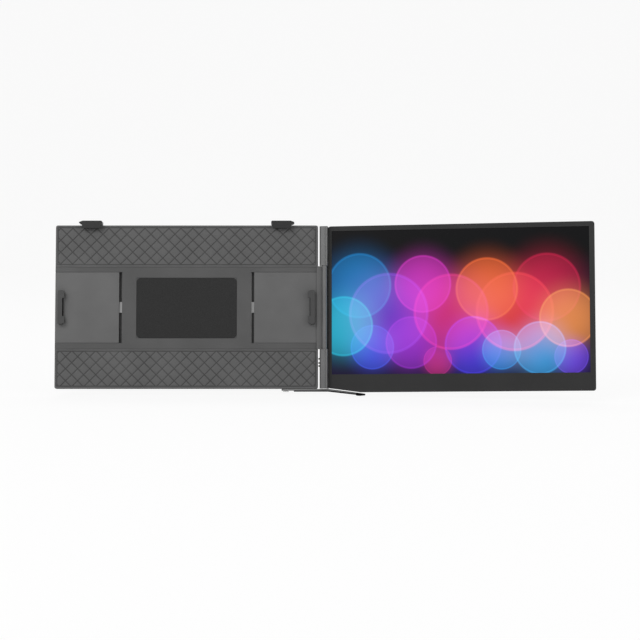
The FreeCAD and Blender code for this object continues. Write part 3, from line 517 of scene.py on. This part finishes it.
def ribbed_tree():
    """Geometry Nodes: a thin base with half-round ribs across it at an even pitch."""
    tree = bpy.data.node_groups.new("ribbed_rubber", "GeometryNodeTree")
    for label, value in (("Width", 6.0), ("Length", 40.0), ("Base", 0.5), ("Rib Radius", 0.3),
                         ("Rib Pitch", 1.5)):
        tree.interface.new_socket(label, in_out="INPUT", socket_type="NodeSocketFloat").default_value = value
    tree.interface.new_socket("Finish", in_out="INPUT", socket_type="NodeSocketMaterial")
    tree.interface.new_socket("Strip", in_out="OUTPUT", socket_type="NodeSocketGeometry")
    given = tree.nodes.new("NodeGroupInput").outputs
    base = tree.nodes.new("GeometryNodeMeshCube")
    size = tree.nodes.new("ShaderNodeCombineXYZ")
    for label, axis in (("Width", "X"), ("Length", "Y"), ("Base", "Z")):
        link(tree, given[label], size.inputs[axis])
    link(tree, size.outputs[0], base.inputs["Size"])
    sunk = tree.nodes.new("GeometryNodeTransform")
    low = tree.nodes.new("ShaderNodeCombineXYZ")
    link(tree, calc(tree, "MULTIPLY", given["Base"], 0.5), low.inputs["Z"])
    link(tree, low.outputs[0], sunk.inputs["Translation"])
    link(tree, base.outputs["Mesh"], sunk.inputs["Geometry"])
    room = calc(tree, "SUBTRACT", given["Length"], given["Rib Pitch"])
    line = tree.nodes.new("GeometryNodeMeshLine")
    line.mode = "OFFSET"
    pitches = calc(tree, "FLOOR", calc(tree, "DIVIDE", room, given["Rib Pitch"]))
    link(tree, calc(tree, "ADD", pitches, 1.0), line.inputs["Count"])
    start = tree.nodes.new("ShaderNodeCombineXYZ")
    link(tree, calc(tree, "MULTIPLY", room, -0.5), start.inputs["Y"])
    link(tree, given["Base"], start.inputs["Z"])
    link(tree, start.outputs[0], line.inputs["Start Location"])
    step = tree.nodes.new("ShaderNodeCombineXYZ")
    link(tree, given["Rib Pitch"], step.inputs["Y"])
    link(tree, step.outputs[0], line.inputs["Offset"])
    rib = tree.nodes.new("GeometryNodeMeshCylinder")
    rib.inputs["Vertices"].default_value = 14
    link(tree, given["Rib Radius"], rib.inputs["Radius"])
    link(tree, calc(tree, "MULTIPLY", given["Width"], 0.96), rib.inputs["Depth"])
    across = tree.nodes.new("GeometryNodeTransform")
    across.inputs["Rotation"].default_value = (0, math.pi / 2, 0)
    link(tree, rib.outputs["Mesh"], across.inputs["Geometry"])
    spread = tree.nodes.new("GeometryNodeInstanceOnPoints")
    link(tree, line.outputs["Mesh"], spread.inputs["Points"])
    link(tree, across.outputs["Geometry"], spread.inputs["Instance"])
    strip = tree.nodes.new("GeometryNodeJoinGeometry")
    link(tree, sunk.outputs["Geometry"], strip.inputs[0])
    link(tree, spread.outputs["Instances"], strip.inputs[0])
    real = tree.nodes.new("GeometryNodeRealizeInstances")
    link(tree, strip.outputs[0], real.inputs["Geometry"])
    finish = tree.nodes.new("GeometryNodeSetMaterial")
    link(tree, real.outputs["Geometry"], finish.inputs["Geometry"])
    link(tree, given["Finish"], finish.inputs["Material"])
    link(tree, finish.outputs["Geometry"], tree.nodes.new("NodeGroupOutput").inputs["Strip"])
    return tree


def soft_rubber(name, grey):
    material, tree, shader, coords = new_finish(name, 0.8, 0.0, 0.12)
    dust = noise(tree, coords, 160, 4.0, 0.6)
    colour = ramp(tree, dust, [(0.35, painted(grey)), (0.75, painted(grey * 1.35))])
    link(tree, colour, shader.inputs["Base Color"])
    bump(tree, shader, noise(tree, coords, 2600, 2.0), 0.2, 0.0001)
    return material


ribbed = ribbed_tree()
# Near black as black rubber and as painted shade: the same colour makes the leg's sole stand for the shade
# under the leg.
black_rubber_and_painted_shade = soft_rubber("black_silicone_rubber_and_painted_shade", 9)


def line_with(name, node, body, width, length, thick, centre, across, along, place):
    """A ribbed strip at a centre on the plate. Its ribs lie across it and stand out the third way."""
    out = across.cross(along)
    turn = Matrix((across, along, out)).transposed().to_4x4()
    strip = grown(ribbed, name, {"Width": width, "Length": length, "Base": thick - 0.3, "Rib Radius": 0.3,
                                 "Finish": black_rubber_and_painted_shade}, place @ Matrix.Translation(centre) @ turn)
    settle(strip, body, "soft_rubber", node)


RIGHT, BACK, UP = Vector((1, 0, 0)), Vector((0, 1, 0)), Vector((0, 0, 1))
LINING_WIDTH, LINING_LENGTH, LINING_THICK = 6.5, 47, 0.8
for side, x, across in (("left", 11.6, BACK), ("right", 381.4, -BACK)):
    line_with(side + "_jaw_lining", side + "_jaw_pad", side + "_arm", LINING_WIDTH, LINING_LENGTH,
              LINING_THICK, Vector((x, -3.2, 121.5)), across, UP, PLATE)

# TOP CLIPS
# Two bent steel hooks in satin black paint stand on stems that slide up out of the rear cover.
# A lining behind each lip presses on what the plate is clipped to.

clip_paint = painted_metal("satin_black_paint", 20, 0.42)
for side, centre in (("left", 54.5), ("right", 338.5)):
    eased(side + "_top_clip", side + "_hook", 0.0003, clip_paint, "clip_plastic", 2)
    line_with(side + "_clip_lining", side + "_clip_pad", side + "_clip", 5.4, 26, LINING_THICK,
              Vector((centre, -6.5, 243.1)), -UP, RIGHT, PLATE)

# MONITOR HINGE
# Two ground steel pins stand in the arm's cast knuckle and run in a barrel at each end of it.
# Spring washers between them hold the monitor at any angle. All three are zinc castings in satin grey.

hinge_paint = painted_metal("satin_hinge_grey", 98, 0.36)
for node, name in (("hinge_knuckle", "middle_knuckle"), ("lower_hinge_barrel", "lower_barrel"),
                   ("upper_hinge_barrel", "upper_barrel")):
    eased(node, name, 0.00025, hinge_paint, "hinge_metal", 2, 50)
ground_steel = plated_steel("ground_steel", 190, (1, 1, 6))
for node in ("hinge_pins", "hinge_friction_washers"):
    dress_node(node, ground_steel)
dress_node("hinge_leaves", zinc)

# MENU AND POWER KEYS
# Three small black caps in the side of the lower barrel work the monitor's menu and its power.
# Each is a moulded nylon bar. A near-black strip closes the rounded edge of both barrels round them; it is
# painted shade, a dark strip put where that edge falls into shade.

# Near black, darker than the nylon alone, as painted shade for the barrels' shaded edge: the keys are black
# nylon made darker, the trims wholly painted shade.
key_plastic = moulded_plastic("black_key_nylon_and_painted_shade", 5, 0.55, 2600, 0.15, 0.04)
for key in ("menu_key_up", "menu_key_down", "power_key"):
    eased(key, key + "_cap", 0.0002, key_plastic, "key_plastic", 3)
# These trims are painted shade: dark strips put where the barrels' rounded edge falls into shade.
for end in ("lower", "upper"):
    eased(end + "_barrel_trim", end + "_painted_shade_trim", 0.0001, key_plastic, "key_plastic", 2, 60)

# MONITOR BEZEL AND SCREEN
# A thin moulded frame in matt grey-black surrounds a 17.3 inch panel, with a deep chin below it.
# The panel glows under an anti-glare film. It shows a plain abstract picture of soft round lights.

bezel_plastic = moulded_plastic("fine_matt_bezel", 42, 0.6, 2400, 0.2, 0.2)
eased("monitor_bezel", "screen_bezel", 0.0002, bezel_plastic, "bezel_plastic", 3)

SCREEN_MIDDLE = MONITOR @ Vector((407.44 + 5.5 + 190.95, -0.3, -5.5 + 26.6 + 107.4))
GLOWS = [((-0.150, 0.020), 0.050, (20, 130, 200)), ((-0.105, -0.020), 0.062, (120, 60, 215)),
         ((-0.055, 0.024), 0.044, (210, 50, 190)), ((-0.012, -0.016), 0.058, (225, 45, 120)),
         ((0.040, 0.018), 0.048, (250, 110, 50)), ((0.082, -0.014), 0.060, (240, 60, 60)),
         ((0.128, 0.022), 0.052, (200, 25, 70)), ((0.160, -0.022), 0.044, (245, 150, 70)),
         ((-0.172, -0.040), 0.046, (30, 190, 220)), ((-0.128, -0.070), 0.034, (60, 90, 240)),
         ((-0.070, -0.062), 0.040, (150, 40, 200)), ((0.022, -0.064), 0.044, (70, 60, 230)),
         ((0.064, -0.070), 0.030, (30, 150, 235)), ((0.120, -0.066), 0.040, (60, 170, 240)),
         ((-0.030, -0.088), 0.022, (190, 40, 120)), ((0.166, -0.078), 0.026, (110, 70, 230))]


def screen_finish():
    """Round out-of-focus lights that overlap on a night-blue ground, fading to black at the top."""
    material, tree, shader, coords = new_finish("lit_panel_with_film", 0.34, 0.0, 0.12)
    shader.inputs["Base Color"].default_value = painted(3, 3, 5)
    centre = tree.nodes.new("ShaderNodeMapping")
    centre.inputs["Location"].default_value = -SCREEN_MIDDLE
    link(tree, coords, centre.inputs["Vector"])
    flat = tree.nodes.new("ShaderNodeMapping")
    flat.inputs["Rotation"].default_value = (0, 0, SWIVEL)
    link(tree, centre.outputs[0], flat.inputs["Vector"])
    split = tree.nodes.new("ShaderNodeSeparateXYZ")
    link(tree, flat.outputs[0], split.inputs[0])
    ground = ramp(tree, calc(tree, "MULTIPLY_ADD", split.outputs["Z"], 4.6, 0.5),
                  [(0.0, painted(20, 8, 44)), (0.5, painted(14, 6, 36)), (0.85, painted(0, 0, 0))])
    picture = ground
    for (across, up), radius, colour in GLOWS:
        dx = calc(tree, "SUBTRACT", split.outputs["X"], across)
        dz = calc(tree, "SUBTRACT", split.outputs["Z"], up)
        squares = calc(tree, "ADD", calc(tree, "MULTIPLY", dx, dx), calc(tree, "MULTIPLY", dz, dz))
        reach = calc(tree, "SQRT", squares)
        disc = tree.nodes.new("ShaderNodeMapRange")
        disc.interpolation_type = "SMOOTHSTEP"
        link(tree, reach, disc.inputs["Value"])
        disc.inputs["From Min"].default_value = radius * 0.9
        disc.inputs["From Max"].default_value = radius
        disc.inputs["To Min"].default_value = 0.32
        disc.inputs["To Max"].default_value = 0.0
        rim = calc(tree, "COMPARE", reach, radius * 0.93, radius * 0.03)
        halo = tree.nodes.new("ShaderNodeMapRange")
        halo.interpolation_type = "SMOOTHERSTEP"
        link(tree, reach, halo.inputs["Value"])
        halo.inputs["From Max"].default_value = radius * 1.7
        halo.inputs["To Min"].default_value = 0.42
        halo.inputs["To Max"].default_value = 0.0
        edged = calc(tree, "MULTIPLY_ADD", rim, 0.22, disc.outputs["Result"])
        glow = calc(tree, "ADD", edged, halo.outputs["Result"])
        mix = tree.nodes.new("ShaderNodeMix")
        mix.data_type = "RGBA"
        mix.blend_type = "SCREEN"
        link(tree, glow, mix.inputs["Factor"])
        link(tree, picture, mix.inputs[6])
        mix.inputs[7].default_value = painted(*colour)
        picture = mix.outputs[2]
    link(tree, picture, shader.inputs["Emission Color"])
    shader.inputs["Emission Strength"].default_value = 1.0
    bump(tree, shader, noise(tree, coords, 5000, 1.0), 0.03, 0.0001)
    return material


dress_node("display_panel", screen_finish())

# INSIDE THE MONITOR
# A pressed aluminium tray backs the panel. Behind it are the driver board and two small speakers.
# The socket shells are soldered to the board and show at the far edge.

brushed_aluminium = plated_steel("pressed_aluminium", 196, (10, 1, 1))
dress_node("backlight_tray", brushed_aluminium)
dress_node("driver_board", moulded_plastic("green_solder_mask", 62, 0.35, 500, 0.1))
dress_node("speakers", moulded_plastic("black_speaker_box", 30, 0.5, 1500, 0.2))
nickel = plated_steel("nickel_shell", 200, (1, 1, 1))
for node in ("usb_c_ports", "hdmi_port"):
    dress_node(node, nickel)

# MONITOR REAR COVER
# A shallow moulded tray closes the back, with two speaker grilles low down and four screws near its corners.
# Its rim shows as a fine dark line round the bezel.

monitor_plastic = moulded_plastic("monitor_cover_grey", 34, 0.5, 2000, 0.3, 0.25)
eased("monitor_rear_cover", "monitor_back", 0.00025, monitor_plastic, "cover_metal")
MONITOR_SCREWS = [(407.44 + x, z) for x in (14, 381.3) for z in (14, 226.7)]
drive_screws("monitor_cover_screws", MONITOR_SCREWS, 6.34, 2.1, 0.2, MONITOR, "monitor", "monitor_screws")

# SUPPORT LEG
# A bent steel bar swings on a rivet under the plate and carries the monitor's weight down to the table.
# Satin light grey paint, with a black rubber sole and tip glued on. The sole is made near black partly as
# painted shade, a dark strip standing for the shade under the leg.

leg_paint = painted_metal("satin_leg_grey", 108, 0.4)
eased("support_leg", "swing_leg", 0.0003, leg_paint, "leg_metal")
# The sole's near-black is partly painted shade, a dark strip standing for the shade under the leg.
eased("leg_sole", "leg_rubber_and_painted_shade", 0.0003, black_rubber_and_painted_shade, "soft_rubber")
dress_node("leg_pivot_pin", ground_steel)
dress_node("leg_pivot_block", zinc)

# REAR STAND
# A thin anodised aluminium plate folds into the rear cover's recess and turns on two pins held in ears.
# A ribbed rubber strip is glued along its foot.


def anodised(name, grey):
    """Satin anodised sheet, brushed along its length before the bath."""
    material, tree, shader, coords = new_finish(name, 0.36, 0.75)
    brushed = noise(tree, coords, 500, 5.0, 0.6, (0.08, 1, 1))
    colour = ramp(tree, brushed, [(0.3, painted(grey * 0.92)), (0.7, painted(grey * 1.08))])
    link(tree, colour, shader.inputs["Base Color"])
    bump(tree, shader, brushed, 0.1, 0.0001)
    return material


eased("kickstand", "rear_stand", 0.00025, anodised("dark_anodised_sheet", 92), "stand_metal")
line_with("stand_foot_rubber", "kickstand_foot_strip", "stand", 2.0, 160, 3.0,
          Vector((196.5, 9.8, 15.0)), -BACK, RIGHT, PLATE)
dress_node("kickstand_ears", zinc)
dress_node("kickstand_pins", ground_steel)

# STAGE
# A pale sweep stands for the studio floor and wall. It is white to the camera and keeps a faint shadow.

FLOOR = cad_box[0][2] - 0.0002


def pale_sweep():
    material = bpy.data.materials.new("pale_sweep")
    material.use_nodes = True
    tree = material.node_tree
    shader = tree.nodes["Principled BSDF"]
    shader.inputs["Base Color"].default_value = (0.86, 0.86, 0.86, 1.0)
    shader.inputs["Roughness"].default_value = 0.9
    white = tree.nodes.new("ShaderNodeEmission")
    rays = tree.nodes.new("ShaderNodeLightPath")
    seen = calc(tree, "MAXIMUM", rays.outputs["Is Camera Ray"],
                calc(tree, "MAXIMUM", rays.outputs["Is Glossy Ray"], rays.outputs["Is Transmission Ray"]))
    mix = tree.nodes.new("ShaderNodeMixShader")
    link(tree, calc(tree, "MULTIPLY", seen, 0.88), mix.inputs["Fac"])
    link(tree, shader.outputs[0], mix.inputs[1])
    link(tree, white.outputs[0], mix.inputs[2])
    link(tree, mix.outputs[0], tree.nodes["Material Output"].inputs["Surface"])
    return material


BEND_START, BEND_RADIUS = 2.2, 1.2
outline = [(-4.0, FLOOR), (BEND_START, FLOOR)]
for angle in (math.radians(7.5 * n) for n in range(1, 13)):
    outline.append((BEND_START + BEND_RADIUS * math.sin(angle), FLOOR + BEND_RADIUS * (1 - math.cos(angle))))
outline.append((3.4, 5.0))
sweep_mesh = bpy.data.meshes.new("studio_sweep")
sweep_mesh.from_pydata([(side * 6.0, y, z) for y, z in outline for side in (-1, 1)], [],
                       [(2 * n, 2 * n + 1, 2 * n + 3, 2 * n + 2) for n in range(len(outline) - 1)])
sweep_mesh.shade_smooth()
sweep = bpy.data.objects.new("studio_sweep", sweep_mesh)
bpy.context.scene.collection.objects.link(sweep)
wear_finish(sweep, pale_sweep())

# LIGHT AND CAMERA
# Three large soft lamps and an even grey surround, as over a product table.
# The camera stands three metres off with a long lens, a little above and in line with the gap by the hinge.

world = bpy.data.worlds.new("studio_air")
world.use_nodes = True
air = world.node_tree
background = air.nodes["Background"]
air_rays = air.nodes.new("ShaderNodeLightPath")
air_seen = calc(air, "MAXIMUM", air_rays.outputs["Is Camera Ray"],
                calc(air, "MAXIMUM", air_rays.outputs["Is Glossy Ray"],
                     air_rays.outputs["Is Transmission Ray"]))
link(air, calc(air, "MULTIPLY_ADD", air_seen, 0.45, 0.55), background.inputs["Strength"])
background.inputs["Color"].default_value = (1, 1, 1, 1)
bpy.context.scene.world = world


def soft_lamp(name, place, aim, width, height, watts):
    lamp = bpy.data.lights.new(name, "AREA")
    lamp.shape = "RECTANGLE"
    lamp.size = width
    lamp.size_y = height
    lamp.energy = watts
    holder = bpy.data.objects.new(name, lamp)
    holder.location = place
    holder.rotation_euler = (Vector(aim) - Vector(place)).to_track_quat("-Z", "Y").to_euler()
    bpy.context.scene.collection.objects.link(holder)


soft_lamp("key_softbox", (-1.2, -1.9, 1.7), (0.2, 0, 0), 1.4, 1.0, 26)
soft_lamp("fill_softbox", (1.9, -1.6, 0.9), (0.2, 0, 0), 1.2, 1.2, 12)
soft_lamp("top_strip", (0.2, 0.9, 1.9), (0.2, 0, 0), 2.0, 0.5, 12)

camera = bpy.data.cameras.new("photo_camera")
camera.lens = 109.4
camera.sensor_width = 36.0
camera.clip_end = 50
viewpoint = bpy.data.objects.new("photo_camera", camera)
viewpoint.location = (0.1995, -2.894, 0.2774)
viewpoint.rotation_euler = (math.radians(90 - 5.83), 0, 0)
bpy.context.scene.collection.objects.link(viewpoint)
bpy.context.scene.camera = viewpoint
bpy.context.scene.view_settings.view_transform = "Standard"
